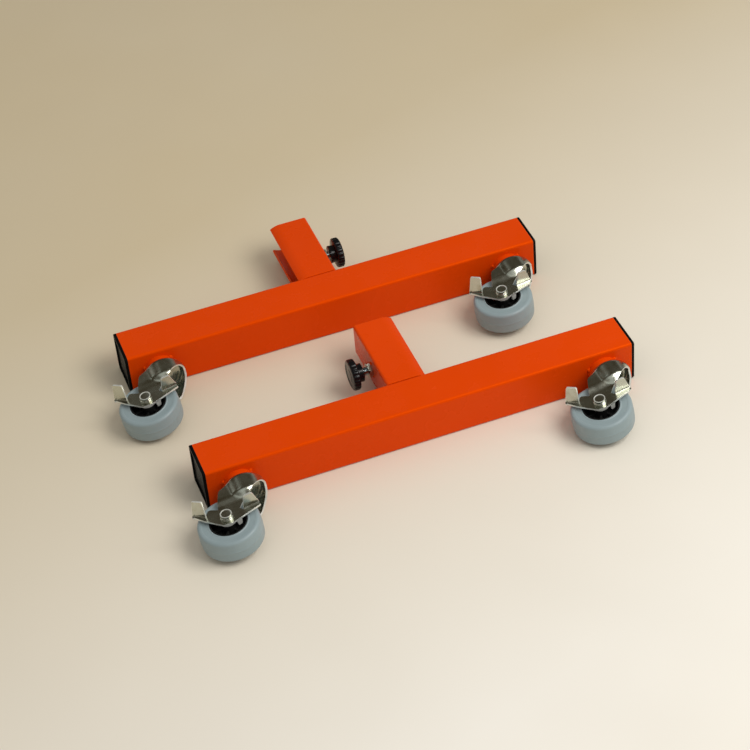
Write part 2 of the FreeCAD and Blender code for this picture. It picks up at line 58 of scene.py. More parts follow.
# Camera: direction it looks from, the point it looks at and how far off it stands.
VIEW_AZIMUTH = math.radians(-16.57)
VIEW_ELEVATION = math.radians(41.31)
VIEW_ROLL = math.radians(-5.63)
VIEW_BACK = Vector((math.sin(VIEW_AZIMUTH) * math.cos(VIEW_ELEVATION),
                    -math.cos(VIEW_AZIMUTH) * math.cos(VIEW_ELEVATION), math.sin(VIEW_ELEVATION)))
VIEW_TARGET = Vector((-0.0240, 0.0863, 0.030))
VIEW_DISTANCE = 2.9442
LENS_MM = 108.62
SENSOR_MM = 36.0

# Room, in metres. Level faces mirror the dark wall towards the camera.
FLOOR_SIZE = 8.0
# Direction in which the floor's painted light falloff grows lighter.
FLOOR_PAINTED_LIGHT_TOWARD = (0.32, -0.92, 0.0)
DARK_WALL = (-VIEW_BACK.x, -VIEW_BACK.y, VIEW_BACK.z)
WINDOW_PLACE = (1.35, -1.15, 2.35)
WINDOW_TARGET = (0, 0.1, 0)
WINDOW_SIZE = (2.0, 1.6)
WINDOW_POWER = 62.0
ROOM_STRENGTH = 0.60

# Colours, linear.
WINDOW_LIGHT = (1.0, 0.98, 0.94)
ROOM_LIGHT = (0.92, 0.90, 0.86, 1)
MIRRORED_DARK = (0.088, 0.070, 0.042, 1)
MIRRORED_PALE = (0.85, 0.88, 0.84, 1)
# Floor: painted shade and painted lit tone of a light falloff, then a random cloud tone.
FLOOR_PAINTED_SHADE = (0.60, 0.50, 0.33, 1)
FLOOR_PAINTED_LIT = (0.83, 0.80, 0.74, 1)
FLOOR_CLOUD = (0.62, 0.57, 0.47, 1)
PAINT_DARK = (0.63, 0.047, 0.0003, 1)
PAINT_LIGHT = (0.73, 0.058, 0.0004, 1)
PAINT_SPECK = (0.45, 0.025, 0.0003, 1)
# Paler orange for the edges: partly wear, partly a painted highlight.
PAINT_WORN_EDGE_HIGHLIGHT = (0.90, 0.11, 0.004, 1)
PAINT_SHEEN = (1.0, 0.16, 0.0, 1)
CAP_BLACK = (0.004, 0.004, 0.004, 1)
KNOB_BLACK = (0.005, 0.005, 0.006, 1)
HUB_BLACK = (0.004, 0.004, 0.004, 1)
DUST = (0.009, 0.010, 0.009, 1)
RUBBED_BLACK = (0.022, 0.022, 0.021, 1)
RUBBER_DARK = (0.218, 0.282, 0.300, 1)
RUBBER_LIGHT = (0.278, 0.347, 0.366, 1)
RUBBER_SCUFF = (0.17, 0.19, 0.20, 1)
# Lighter grey for the tyre's edges: a painted highlight.
RUBBER_EDGE_HIGHLIGHT = (0.42, 0.48, 0.50, 1)
ZINC_DARK = (0.44, 0.45, 0.37, 1)
ZINC_LIGHT = (0.66, 0.68, 0.61, 1)
# Warm brown patches on zinc: partly stains, partly a painted reflection of the orange beam.
ZINC_STAIN_AND_REFLECTION = (0.34, 0.25, 0.14, 1)
# Near-white zinc edges: a painted highlight.
ZINC_EDGE_HIGHLIGHT = (0.93, 0.94, 0.90, 1)
BLUE_ZINC_DARK = (0.32, 0.40, 0.46, 1)
BLUE_ZINC_LIGHT = (0.50, 0.60, 0.66, 1)
BLUE_ZINC_STAIN = (0.22, 0.24, 0.26, 1)
# Sheared edges, kept bright: partly raw steel, partly a painted highlight.
CUT_DARK = (0.62, 0.63, 0.58, 1)
CUT_LIGHT = (0.92, 0.93, 0.89, 1)
STEEL_DARK = (0.30, 0.30, 0.30, 1)
STEEL_LIGHT = (0.45, 0.44, 0.42, 1)

# Most of a noise texture's values lie between these.
NOISE_LOW = 0.3
NOISE_HIGH = 0.7

# Fork. An edge's points are (along, depth below the beam, fillet).
SHEET = 2.5
CROWN_TOP = 11.5
CROWN_R = 21.5
DOME_R = 8.0
FORK_R = CROWN_R + DOME_R
SHOULDER = CROWN_TOP + DOME_R
SIDE_HALF = 24.5
TAPER_START = 39.0
TAPER_END = 54.0
LEG_HALF = 20.0
LEG_END_R = 11.0
PIN_HOLE_R = 6.05
HOOD_BACK = -13.0
TRAILING_EDGE = ((HOOD_BACK, SHOULDER, 0), (-31, 27, 8), (-39, 49, 12), (-45, 72, 0))
LEADING_EDGE = ((FORK_R, SHOULDER, 0), (28.5, 23, 3), (9, 43, 20), (-8, 54, 16), (-17, 65, 10), (-23, 72, 0))

# Lever. A tab's foot runs from its near to its far point; a corner is (point, fillet).
LEVER_LOW = 20.1
LEVER_HIGH = LEVER_LOW + SHEET
INNER_BEND = 1.5
TAB_REACH = SHEET + INNER_BEND
PEDAL_FOOT = (Vector((-70, -46.5, 0)), Vector((-56, -57, 0)))
PEDAL_HEIGHT = 26.5
RELEASE_FOOT = (Vector((-11, -66, 0)), Vector((9.5, -65, 0)))
RELEASE_HEIGHT = 19.5
LEVER_FRONT = Vector((11, -71.5, 0))
LEVER_REAR = Vector((-29.5, -83.5, 0))
LEVER_INSIDE = [(Vector((-51.5, -48.5, 0)), 4), (Vector((-41.5, -54.3, 0)), 4), (Vector((-15, -64.5, 0)), 6)]
LEVER_OUTSIDE = [(LEVER_FRONT, 2), (LEVER_REAR, 6), (Vector((-41.5, -82.5, 0)), 6),
                 (Vector((-61, -63.5, 0)), 8), (Vector((-72.5, -49, 0)), 1)]
CLAW_FROM_REAR = 9.0
CLAW_ROOT_HALF = 4.0
CLAW_TIP_HALF = 2.5
CLAW_DROP = 8.0

# Wheel and axle.
TYRE_BORE_R = 24.2
TYRE_GROOVE_R = 34.0
NIB_ANGLES = (200, 283, 20)
AXLE_R = 4.0
AXLE_END = -23.6
AXLE_COLLAR_R = 8.2
AXLE_HEAD_R = 7.4
AXLE_HEAD_TOP = 7.2

# Hand knob and clamp screw.
KNOB_R = 20.9
KNOB_HEIGHT = 17.4
KNOB_FLUTES = 20
FLUTE_DEPTH = 0.9
FLUTES_START_R = 17.0
STUD_R = 6.0
STUD_TIP_R = 4.0
STUD_TIP = 3.0
THREAD_PITCH = 1.75
THREAD_DEPTH = 0.85
THREAD_STEP = 0.22

# Welds. The gaps are how far the beads stop short of the socket's ends.
SOCKET_SHEET = 3.0
BEAD_SIZE = 3.0
BEAD_GAP = 4.0
INNER_GAP = 6.0
LIP_GAP = 15.0
RIPPLE = 2.4
NUT_TACK = 2.3
NUT_TACK_R = 9.7
BOSS_TACK = 2.9
BOSS_TACK_R = 21.3

# Material index of the cut sheet edges on the pressed parts.
CUT_EDGE = 1


def node_input(tree, node, name, value):
    """Sets a socket to a value or links it from another node's output."""
    if isinstance(value, bpy.types.NodeSocket):
        tree.links.new(value, node.inputs[name])
    else:
        node.inputs[name].default_value = value


def add_node(tree, kind, inputs=None, **settings):
    """New node with the given input values or links and settings."""
    node = tree.nodes.new(kind)
    for key, value in settings.items():
        setattr(node, key, value)
    for name, value in (inputs or {}).items():
        node_input(tree, node, name, value)
    return node


def new_material(name):
    """Empty node material with one shader; returns it with its tree and the shader."""
    material = bpy.data.materials.new(name)
    material.use_nodes = True
    tree = material.node_tree
    tree.nodes.clear()
    shader = add_node(tree, "ShaderNodeBsdfPrincipled")
    output = add_node(tree, "ShaderNodeOutputMaterial")
    tree.links.new(shader.outputs["BSDF"], output.inputs["Surface"])
    return material, tree, shader


def object_noise(tree, scale, detail=3.0, roughness=0.5, stretch=(1, 1, 1)):
    """Noise in the object's own metres, optionally stretched along an axis."""
    coords = add_node(tree, "ShaderNodeTexCoord")
    mapping = add_node(tree, "ShaderNodeMapping", {"Vector": coords.outputs["Object"], "Scale": stretch})
    noise = add_node(tree, "ShaderNodeTexNoise", {"Vector": mapping.outputs["Vector"], "Scale": scale,
                                                  "Detail": detail, "Roughness": roughness})
    return noise.outputs["Fac"]


def map_range(tree, value, low, high, to_low, to_high):
    """The value carried from one range to another."""
    node = add_node(tree, "ShaderNodeMapRange", {"Value": value, "From Min": low, "From Max": high,
                                                 "To Min": to_low, "To Max": to_high})
    return node.outputs["Result"]


def mix_color(tree, factor, a, b):
    """Mix of two colours; the mix node's colour sockets are inputs 6 and 7 and output 2."""
    node = add_node(tree, "ShaderNodeMix", data_type="RGBA")
    node_input(tree, node, 0, factor)
    node_input(tree, node, 6, a)
    node_input(tree, node, 7, b)
    return node.outputs[2]


def edge_mask(tree, radius):
    """About 1 on edges tighter than the radius and 0 on flat faces."""
    bevel = add_node(tree, "ShaderNodeBevel", {"Radius": radius}, samples=4)
    geometry = add_node(tree, "ShaderNodeNewGeometry")
    dot = add_node(tree, "ShaderNodeVectorMath", {0: bevel.outputs["Normal"], 1: geometry.outputs["Normal"]},
                   operation="DOT_PRODUCT")
    return map_range(tree, dot.outputs["Value"], 1.0, 0.86, 0.0, 1.0)


def uneven_roughness(tree, shader, scale, low, high):
    """Roughness that wanders between low and high."""
    noise = object_noise(tree, scale)
    node_input(tree, shader, "Roughness", map_range(tree, noise, NOISE_LOW, NOISE_HIGH, low, high))


def bump(tree, shader, height, strength, distance, edge_radius=None):
    """Fine relief, with edges shaded as round where an edge radius is given."""
    inputs = {"Height": height, "Strength": strength, "Distance": distance}
    if edge_radius:
        bevel = add_node(tree, "ShaderNodeBevel", {"Radius": edge_radius}, samples=4)
        inputs["Normal"] = bevel.outputs["Normal"]
    node = add_node(tree, "ShaderNodeBump", inputs)
    tree.links.new(node.outputs["Normal"], shader.inputs["Normal"])


def orange_paint():
    """Gloss powder coat with a faint orange peel, cloudy depth and slightly paler edges, partly rubbed paint and
    partly a painted highlight.
    """
    material, tree, shader = new_material("orange_paint")
    cloud = object_noise(tree, 6.0)
    color = mix_color(tree, cloud, PAINT_DARK, PAINT_LIGHT)
    speck = map_range(tree, object_noise(tree, 240.0, 4.0, 0.7), 0.68, 0.78, 0.0, 0.35)
    color = mix_color(tree, speck, color, PAINT_SPECK)
    # Paler orange on the edges: partly rubbed paint, partly a painted highlight.
    color = mix_color(tree, edge_mask(tree, 0.0010), color, PAINT_WORN_EDGE_HIGHLIGHT)
    node_input(tree, shader, "Base Color", color)
    node_input(tree, shader, "Specular Tint", PAINT_SHEEN)
    node_input(tree, shader, "Specular IOR Level", 0.30)
    uneven_roughness(tree, shader, 25.0, 0.20, 0.34)
    bump(tree, shader, object_noise(tree, 420.0, 2.0), 0.10, 0.0004, 0.0006)
    return material


def black_plastic(name, roughness, specular, tint):
    """Moulded plastic with a fine grain, faint dust and greyer rubbed edges."""
    material, tree, shader = new_material(name)
    dust = object_noise(tree, 60.0, 5.0, 0.6)
    color = mix_color(tree, map_range(tree, dust, 0.50, 0.80, 0.0, 1.0), tint, DUST)
    color = mix_color(tree, edge_mask(tree, 0.0008), color, RUBBED_BLACK)
    node_input(tree, shader, "Base Color", color)
    node_input(tree, shader, "Specular IOR Level", specular)
    uneven_roughness(tree, shader, 120.0, roughness, roughness + 0.10)
    bump(tree, shader, object_noise(tree, 900.0, 2.0), 0.12, 0.0002, 0.0005)
    return material


def grey_rubber():
    """Non-marking grey tread: soft sheen, slight mottling, dust and a few darker scuffs, with edges painted
    lighter as a highlight.
    """
    material, tree, shader = new_material("grey_rubber")
    color = mix_color(tree, object_noise(tree, 18.0, 4.0), RUBBER_DARK, RUBBER_LIGHT)
    scuff = map_range(tree, object_noise(tree, 45.0, 6.0, 0.7), 0.62, 0.76, 0.0, 0.45)
    color = mix_color(tree, scuff, color, RUBBER_SCUFF)
    # Painted highlight: lighter grey along the tyre's edges.
    color = mix_color(tree, edge_mask(tree, 0.0008), color, RUBBER_EDGE_HIGHLIGHT)
    node_input(tree, shader, "Base Color", color)
    uneven_roughness(tree, shader, 70.0, 0.34, 0.50)
    bump(tree, shader, object_noise(tree, 500.0, 3.0), 0.10, 0.0003)
    return material


def plated_steel(name, dark, light, stain_and_reflection_color):
    """Zinc plate on pressed steel: mottled metal, stain patches (on the plain zinc warm brown, partly stains and
    partly a painted reflection of the orange paint), fine brushing, and edges painted near white as a highlight.
    """
    material, tree, shader = new_material(name)
    color = mix_color(tree, object_noise(tree, 30.0, 4.0), dark, light)
    # Patches of the stain colour: on the plain zinc partly a painted reflection of the orange beam.
    stain = map_range(tree, object_noise(tree, 75.0, 5.0, 0.65), 0.50, 0.78, 0.0, 0.6)
    color = mix_color(tree, stain, color, stain_and_reflection_color)
    # Painted highlight: edges turned near white.
    color = mix_color(tree, edge_mask(tree, 0.0009), color, ZINC_EDGE_HIGHLIGHT)
    node_input(tree, shader, "Base Color", color)
    node_input(tree, shader, "Metallic", 1.0)
    uneven_roughness(tree, shader, 55.0, 0.16, 0.30)
    bump(tree, shader, object_noise(tree, 350.0, 3.0, 0.5, (1, 0.25, 1)), 0.10, 0.0003)
    return material


def cut_edge():
    """Sheared sheet edges: brighter and rougher than the plated faces, with fine drag marks; the brightness is
    partly raw steel and partly a painted highlight.
    """
    material, tree, shader = new_material("cut_edge")
    color = mix_color(tree, object_noise(tree, 160.0, 4.0), CUT_DARK, CUT_LIGHT)
    node_input(tree, shader, "Base Color", color)
    node_input(tree, shader, "Metallic", 0.55)
    uneven_roughness(tree, shader, 90.0, 0.30, 0.45)
    bump(tree, shader, object_noise(tree, 600.0, 3.0, 0.5, (1, 1, 0.2)), 0.15, 0.0002)
    return material


def bare_steel():
    """Ground steel, greyer and duller than the plated parts."""
    material, tree, shader = new_material("bare_steel")
    color = mix_color(tree, object_noise(tree, 90.0, 4.0), STEEL_DARK, STEEL_LIGHT)
    node_input(tree, shader, "Base Color", color)
    node_input(tree, shader, "Metallic", 1.0)
    uneven_roughness(tree, shader, 140.0, 0.28, 0.45)
    bump(tree, shader, object_noise(tree, 700.0, 2.0), 0.15, 0.0002)
    return material


def floor_surface():
    """Pale smooth floor with a painted light falloff: warmer and darker, as painted shade, towards the far left,
    lighter towards the near right.
    """
    material, tree, shader = new_material("floor_surface")
    coords = add_node(tree, "ShaderNodeTexCoord")
    across = add_node(tree, "ShaderNodeVectorMath", {0: coords.outputs["Object"], 1: FLOOR_PAINTED_LIGHT_TOWARD},
                      operation="DOT_PRODUCT")
    # Painted light falloff: share of the painted lit tone across the floor.
    shade = map_range(tree, across.outputs["Value"], -0.55, 0.42, 0.0, 1.0)
    color = mix_color(tree, shade, FLOOR_PAINTED_SHADE, FLOOR_PAINTED_LIT)
    cloud = map_range(tree, object_noise(tree, 1.6), NOISE_LOW, NOISE_HIGH, 0.0, 0.25)
    color = mix_color(tree, cloud, color, FLOOR_CLOUD)
    node_input(tree, shader, "Base Color", color)
    uneven_roughness(tree, shader, 9.0, 0.40, 0.55)
    node_input(tree, shader, "Specular IOR Level", 0.3)
    bump(tree, shader, object_noise(tree, 60.0), 0.04, 0.0004)
    return material


MATERIALS = {
    "orange_paint": orange_paint(),
    "black_cap": black_plastic("black_cap", 0.24, 0.025, CAP_BLACK),
    "black_knob": black_plastic("black_knob", 0.13, 0.28, KNOB_BLACK),
    "hub_plastic": black_plastic("hub_plastic", 0.50, 0.3, HUB_BLACK),
    "grey_rubber": grey_rubber(),
    "zinc_plate": plated_steel("zinc_plate", ZINC_DARK, ZINC_LIGHT, ZINC_STAIN_AND_REFLECTION),
    "blue_zinc": plated_steel("blue_zinc", BLUE_ZINC_DARK, BLUE_ZINC_LIGHT, BLUE_ZINC_STAIN),
    "cut_edge": cut_edge(),
    "bare_steel": bare_steel(),
}


def dress_frame():
    """Gives every CAD node the material of its slot in the record."""
    slots = {row["node"]: row["material_slot"] for row in frame["record"]["subparts"]}
    for name, obj in frame["nodes"].items():
        obj.data.materials.clear()
        obj.data.materials.append(MATERIALS[slots[name]])


def rounded(corners, closed=True, steps=6):
    """Points of an outline whose (point, radius) corners are rounded by arcs."""
    points = []
    count = len(corners)
    for i, (corner, radius) in enumerate(corners):
        if radius == 0 or (not closed and i in (0, count - 1)):
            points.append(corner.copy())
            continue
        before = (corners[i - 1][0] - corner).normalized()
        after = (corners[(i + 1) % count][0] - corner).normalized()
        half = before.angle(after) / 2
        centre = corner + (before + after).normalized() * (radius / math.sin(half))
        start = corner + before * (radius / math.tan(half)) - centre
        stop = corner + after * (radius / math.tan(half)) - centre
        turn_axis = start.cross(stop).normalized()
        sweep = start.angle(stop)
        points += [centre + Quaternion(turn_axis, sweep * k / steps) @ start for k in range(steps + 1)]
    return points


def add_prism(bm, outline, depth):
    """Solid between a closed outline and its copy moved by depth; its sides are cut edges."""
    low = [bm.verts.new(point) for point in outline]
    high = [bm.verts.new(point + depth) for point in outline]
    bm.faces.new(low)
    bm.faces.new(list(reversed(high)))
    for i in range(len(low)):
        k = (i + 1) % len(low)
        bm.faces.new((low[k], low[i], high[i], high[k])).material_index = CUT_EDGE


def add_rows(bm, rows, around=False, cap_ends=False, cut_columns=()):
    """Quads between rows of points; around joins each row's end to its start.

    The cut columns, and then the end caps as well, are cut edges."""
    grid = [[bm.verts.new(point) for point in row] for row in rows]
    count = len(grid[0])
    for low, high in zip(grid, grid[1:]):
        for k in range(count if around else count - 1):
            n = (k + 1) % count
            face = bm.faces.new((low[k], low[n], high[n], high[k]))
            face.material_index = CUT_EDGE if k in cut_columns else 0
    if cap_ends:
        bm.faces.new(list(reversed(grid[0])))
        bm.faces.new(grid[-1]).material_index = CUT_EDGE if cut_columns else 0


def lathe_rows(outline, segments, place, shape=None):
    """Rows of a turned shape: outline of (radius, height) about the Z axis of the matrix place.

    shape gives the radius at an angle where the piece isn't round."""
    rows = []
    for radius, height in outline:
        row = []
        for k in range(segments):
            angle = 2 * math.pi * k / segments
            r = shape(radius, height, angle) if shape else radius
            row.append(place @ Vector((r * math.cos(angle), r * math.sin(angle), height)))
        rows.append(row)
    return rows


def turned_outline(corners, closed=True, steps=6):
    """(radius, height) outline with (radius, height, fillet) corners."""
    points = rounded([(Vector((r, 0, h)), fillet) for r, h, fillet in corners], closed, steps)
    return [(p.x, p.z) for p in points]


def make_piece(name, bm, place, material, body, replaced, smooth_angle=35.0):
    """Turns the mesh into an object that rides on a body and stands for a CAD node."""
    bmesh.ops.remove_doubles(bm, verts=bm.verts, dist=0.002)
    bmesh.ops.recalc_face_normals(bm, faces=bm.faces)
    bm.transform(place)
    mesh = bpy.data.meshes.new(name)
    bm.to_mesh(mesh)
    bm.free()
    mesh.shade_smooth()
    mesh.set_sharp_from_angle(angle=math.radians(smooth_angle))
    mesh.materials.append(material)
    piece = bpy.data.objects.new(name, mesh)
    bpy.context.scene.collection.objects.link(piece)
    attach(piece, body)
    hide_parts(replaced)
    return piece


def add_cut_edges(piece):
    """Second material, for the faces marked as cut edges."""
    piece.data.materials.append(MATERIALS["cut_edge"])


def add_bevel(piece, width):
    """Rounds the piece's sharp edges by a width in millimetres."""
    bevel = piece.modifiers.new("edges", "BEVEL")
    bevel.width = width * MM
    bevel.segments = 2
    bevel.limit_method = "ANGLE"
    bevel.angle_limit = math.radians(40)
    bevel.harden_normals = True


def castor_place(name):
    """Matrix from the castor's own millimetres to the frame, from its swivel and roll joints."""
    axle = Vector(JOINTS[name + "_roll"]["axis"]).normalized()
    swivel = Vector((0, 1, 0))
    matrix = Matrix((swivel.cross(axle), swivel, axle)).transposed().to_4x4()
    matrix.translation = Vector(JOINTS[name + "_swivel"]["pos_m"])
    return matrix @ Matrix.Scale(MM, 4)


def measure_wheel():
    """Trail, drop, tread radius and half width in millimetres, from the front left castor."""
    name = CASTORS[0]
    to_own = castor_place(name).inverted()
    centre = to_own @ Vector(JOINTS[name + "_roll"]["pos_m"])
    points = [to_own @ vertex.co for vertex in frame["nodes"][name + "_tyre"].data.vertices]
    radius = max(centre.y - point.y for point in points)
    half = max(point.z - centre.z for point in points)
    return -centre.x, -centre.y, radius, half


TRAIL, DROP, WHEEL_R, WHEEL_HALF = measure_wheel()


def between(low, high, share):
    """Value a share of the way from low to high."""
    return low + (high - low) * share


def ease(low, high, share):
    """Like between, but level at both ends and constant beyond them."""
    share = min(max(share, 0.0), 1.0)
    return between(low, high, share * share * (3 - 2 * share))


def edge_at(path, depth):
    """Where a fork edge's path of (along, depth) points stands at the given depth."""
    for (a0, d0), (a1, d1) in zip(path, path[1:]):
        if d0 <= depth <= d1:
            return between(a0, a1, (depth - d0) / (d1 - d0))
    swing = math.sqrt(max(LEG_END_R ** 2 - (depth - DROP) ** 2, 0.0))
    return -TRAIL + math.copysign(swing, path[-1][0] + TRAIL)


def fork_edge(corners):
    """Path of (along, depth) points with the corners rounded."""
    points = rounded([(Vector((a, depth, 0)), radius) for a, depth, radius in corners], closed=False)
    return [(p.x, p.y) for p in points]


def crown_radius(depth):
    """Radius of the round part: dome, then drawn in over the skirt."""
    if depth < SHOULDER:
        return CROWN_R + math.sqrt(max(DOME_R ** 2 - (SHOULDER - depth) ** 2, 0.0))
    return ease(FORK_R, LEG_HALF, (depth - TAPER_START) / (TAPER_END - TAPER_START))


def leg_half(depth):
    """Distance of the flat side from the swivel axis."""
    return ease(SIDE_HALF, LEG_HALF, (depth - TAPER_START) / (TAPER_END - TAPER_START))


def fork_point(q, depth):
    """Outer face: q runs back along the leg where negative and round the crown where positive.

    Behind the crown the face follows the round part or the flat side, whichever stands further out."""
    radius = crown_radius(depth)
    if depth <= SHOULDER or q >= 0:
        return Vector((radius * math.sin(q / radius), -depth, radius * math.cos(q / radius)))
    around = math.sqrt(max(radius ** 2 - q * q, 0.0))
    flat = leg_half(depth)
    return Vector((q, -depth, (around + flat + math.sqrt((around - flat) ** 2 + 1.0)) / 2))


def fork_half():
    """Rows of the outer face on the +Z side, from the kingpin hole down to the leg's round end."""
    trailing = fork_edge(TRAILING_EDGE)
    leading = fork_edge(LEADING_EDGE)
    back_columns = 8
    columns = 28
    hood_turn = math.asin(HOOD_BACK / FORK_R)
    turns = [between(-math.pi / 2, hood_turn, k / back_columns) for k in range(back_columns)]
    turns += [between(hood_turn, math.pi / 2, k / columns) for k in range(columns + 1)]
    crown = []
    for radius in (PIN_HOLE_R, 12.0, CROWN_R - 0.6):
        crown.append([Vector((radius * math.sin(t), -CROWN_TOP, radius * math.cos(t))) for t in turns])
    for k in range(9):
        depth = SHOULDER - DOME_R * math.cos(math.pi / 2 * k / 8)
        radius = crown_radius(depth)
        crown.append([fork_point(t * radius, depth) for t in turns])
    depths = [SHOULDER + (DROP - SHOULDER) * k / 40 for k in range(41)]
    depths += [DROP + LEG_END_R * math.sin(math.pi / 2 * k / 10) for k in range(1, 11)]
    legs = []
    for depth in depths:
        start = edge_at(trailing, depth)
        lead = edge_at(leading, depth)
        radius = crown_radius(depth)
        stop = radius * math.asin(min(lead / radius, 1.0)) if lead > 0 else lead
        if depth == SHOULDER:
            start = hood_turn * FORK_R
        legs.append([fork_point(between(start, stop, k / columns), depth) for k in range(columns + 1)])
    return crown, legs


def add_fork(name, place):
    """Pressed fork: crown and legs as one sheet, thickened inwards, with cut edges painted bright, partly raw
    steel and partly a painted highlight.
    """
    bm = bmesh.new()
    crown, legs = fork_half()
    for rows in (crown, legs):
        add_rows(bm, rows)
        add_rows(bm, [[Vector((p.x, p.y, -p.z)) for p in row] for row in rows])
    piece = make_piece(name + "_fork_shell", bm, place, MATERIALS["zinc_plate"], name + "_fork",
                       name + "_fork", smooth_angle=50.0)
    shell = piece.modifiers.new("sheet", "SOLIDIFY")
    shell.thickness = SHEET * MM
    shell.offset = -1.0
    shell.material_offset_rim = CUT_EDGE
    add_cut_edges(piece)
    add_bevel(piece, 0.45)


def add_tab(bm, near, far, height, lean_near, lean_far, corner):
    """Tab bent up from the lever's plate; the near to far line is its foot on the fork's side."""
    along = (far - near).normalized()
    away = along.cross(Vector((0, 0, 1)))
    width = (far - near).length
    rows = []
    for k in range(9):
        turn = math.pi / 2 * k / 8
        ring = []
        for radius in (TAB_REACH, INNER_BEND):
            ring.append((TAB_REACH - radius * math.sin(turn),
                         LEVER_HIGH + INNER_BEND - radius * math.cos(turn)))
        rows.append((ring, 0.0, width))
    top = LEVER_HIGH + height
    foot = LEVER_HIGH + INNER_BEND
    for k in range(1, 9):
        level = foot + (top - corner - foot) * k / 8
        share = (level - LEVER_HIGH) / height
        rows.append((((0.0, level), (SHEET, level)), lean_near * share, width + lean_far * share))
    for k in range(1, 7):
        turn = math.pi / 2 * k / 6
        level = top - corner + corner * math.sin(turn)
        share = (level - LEVER_HIGH) / height
        cut = corner * (1 - math.cos(turn))
        rows.append((((0.0, level), (SHEET, level)), lean_near * share + cut,
                     width + lean_far * share - cut))
    loops = []
    for (outer, inner), start, stop in rows:
        loops.append([near + along * s + away * n + Vector((0, 0, z))
                      for s, (n, z) in ((start, outer), (stop, outer), (stop, inner), (start, inner))])
    add_rows(bm, loops, around=True, cap_ends=True, cut_columns=(1, 3))


def add_lever(name, place):
    """Chevron plate with its pedal and release tabs and the claw."""
    bm = bmesh.new()

    def plate_side(foot):
        away = (foot[1] - foot[0]).normalized().cross(Vector((0, 0, 1))) * TAB_REACH
        return [(foot[0] + away, 0), (foot[1] + away, 0)]

    corners = plate_side(PEDAL_FOOT) + LEVER_INSIDE + plate_side(RELEASE_FOOT) + LEVER_OUTSIDE
    outline = [point + Vector((0, 0, LEVER_LOW)) for point in rounded(corners)]
    add_prism(bm, outline, Vector((0, 0, SHEET)))
    add_tab(bm, *PEDAL_FOOT, PEDAL_HEIGHT, lean_near=4.5, lean_far=0.5, corner=2.0)
    add_tab(bm, *RELEASE_FOOT, RELEASE_HEIGHT, lean_near=4.0, lean_far=-5.5, corner=3.0)
    along = (LEVER_FRONT - LEVER_REAR).normalized()
    root = LEVER_REAR + along * CLAW_FROM_REAR
    away = Vector((0, 0, 1)).cross(along) * SHEET
    tip = Vector((0, 0, LEVER_LOW - CLAW_DROP))
    top = Vector((0, 0, LEVER_HIGH - 0.4))
    claw = [(root - along * CLAW_ROOT_HALF + top, 0), (root + along * CLAW_ROOT_HALF + top, 0),
            (root + along * CLAW_TIP_HALF + tip, 1.2), (root - along * CLAW_TIP_HALF + tip, 1.2)]
    claw_start = len(bm.faces)
    add_prism(bm, rounded(claw), away)
    bm.faces.ensure_lookup_table()
    for face in bm.faces[claw_start:]:
        face.material_index = CUT_EDGE
    piece = make_piece(name + "_lever_plate", bm, place, MATERIALS["zinc_plate"], name + "_brake",
                       name + "_lever")
    add_cut_edges(piece)
    add_bevel(piece, 0.4)


def wheel_place(place):
    """The castor's matrix moved to the middle of its wheel."""
    return place @ Matrix.Translation((-TRAIL, -DROP, 0))


def add_tyre(name, place):
    """Moulded tread ring: crowned tread, rounded shoulders, mould line and vent nibs."""
    half = WHEEL_HALF
    side = [(TYRE_BORE_R, 0, 0), (TYRE_BORE_R, half, 0.5), (TYRE_BORE_R + 1.6, half, 0.3),
            (TYRE_BORE_R + 2.2, half - 0.5, 0.3), (TYRE_GROOVE_R - 0.6, half - 0.25, 0.5),
            (TYRE_GROOVE_R, half, 0.3),
            (WHEEL_R - 0.6, half, 4.2), (WHEEL_R - 0.1, 3.0, 6.0), (WHEEL_R, 0.45, 0),
            (WHEEL_R + 0.12, 0.2, 0), (WHEEL_R + 0.12, 0, 0)]
    upper = turned_outline(side, closed=False, steps=8)
    outline = upper + [(r, -h) for r, h in reversed(upper[:-1])]
    bm = bmesh.new()
    add_rows(bm, lathe_rows(outline, 144, Matrix.Identity(4)), around=True)
    nib = [(1.1, -0.3), (1.0, 0.3), (0.6, 0.7), (0.05, 0.85)]
    nib_circle = TYRE_BORE_R + 1.0
    for side_sign, flip in ((1, 0), (-1, math.pi)):
        for turn in NIB_ANGLES:
            angle = math.radians(turn)
            spot = Matrix.Translation((nib_circle * math.cos(angle), nib_circle * math.sin(angle),
                                       side_sign * (half - 0.2)))
            add_rows(bm, lathe_rows(nib, 12, spot @ Matrix.Rotation(flip, 4, "X")), around=True)
    make_piece(name + "_tread_ring", bm, wheel_place(place), MATERIALS["grey_rubber"], name + "_wheel",
               name + "_tyre")


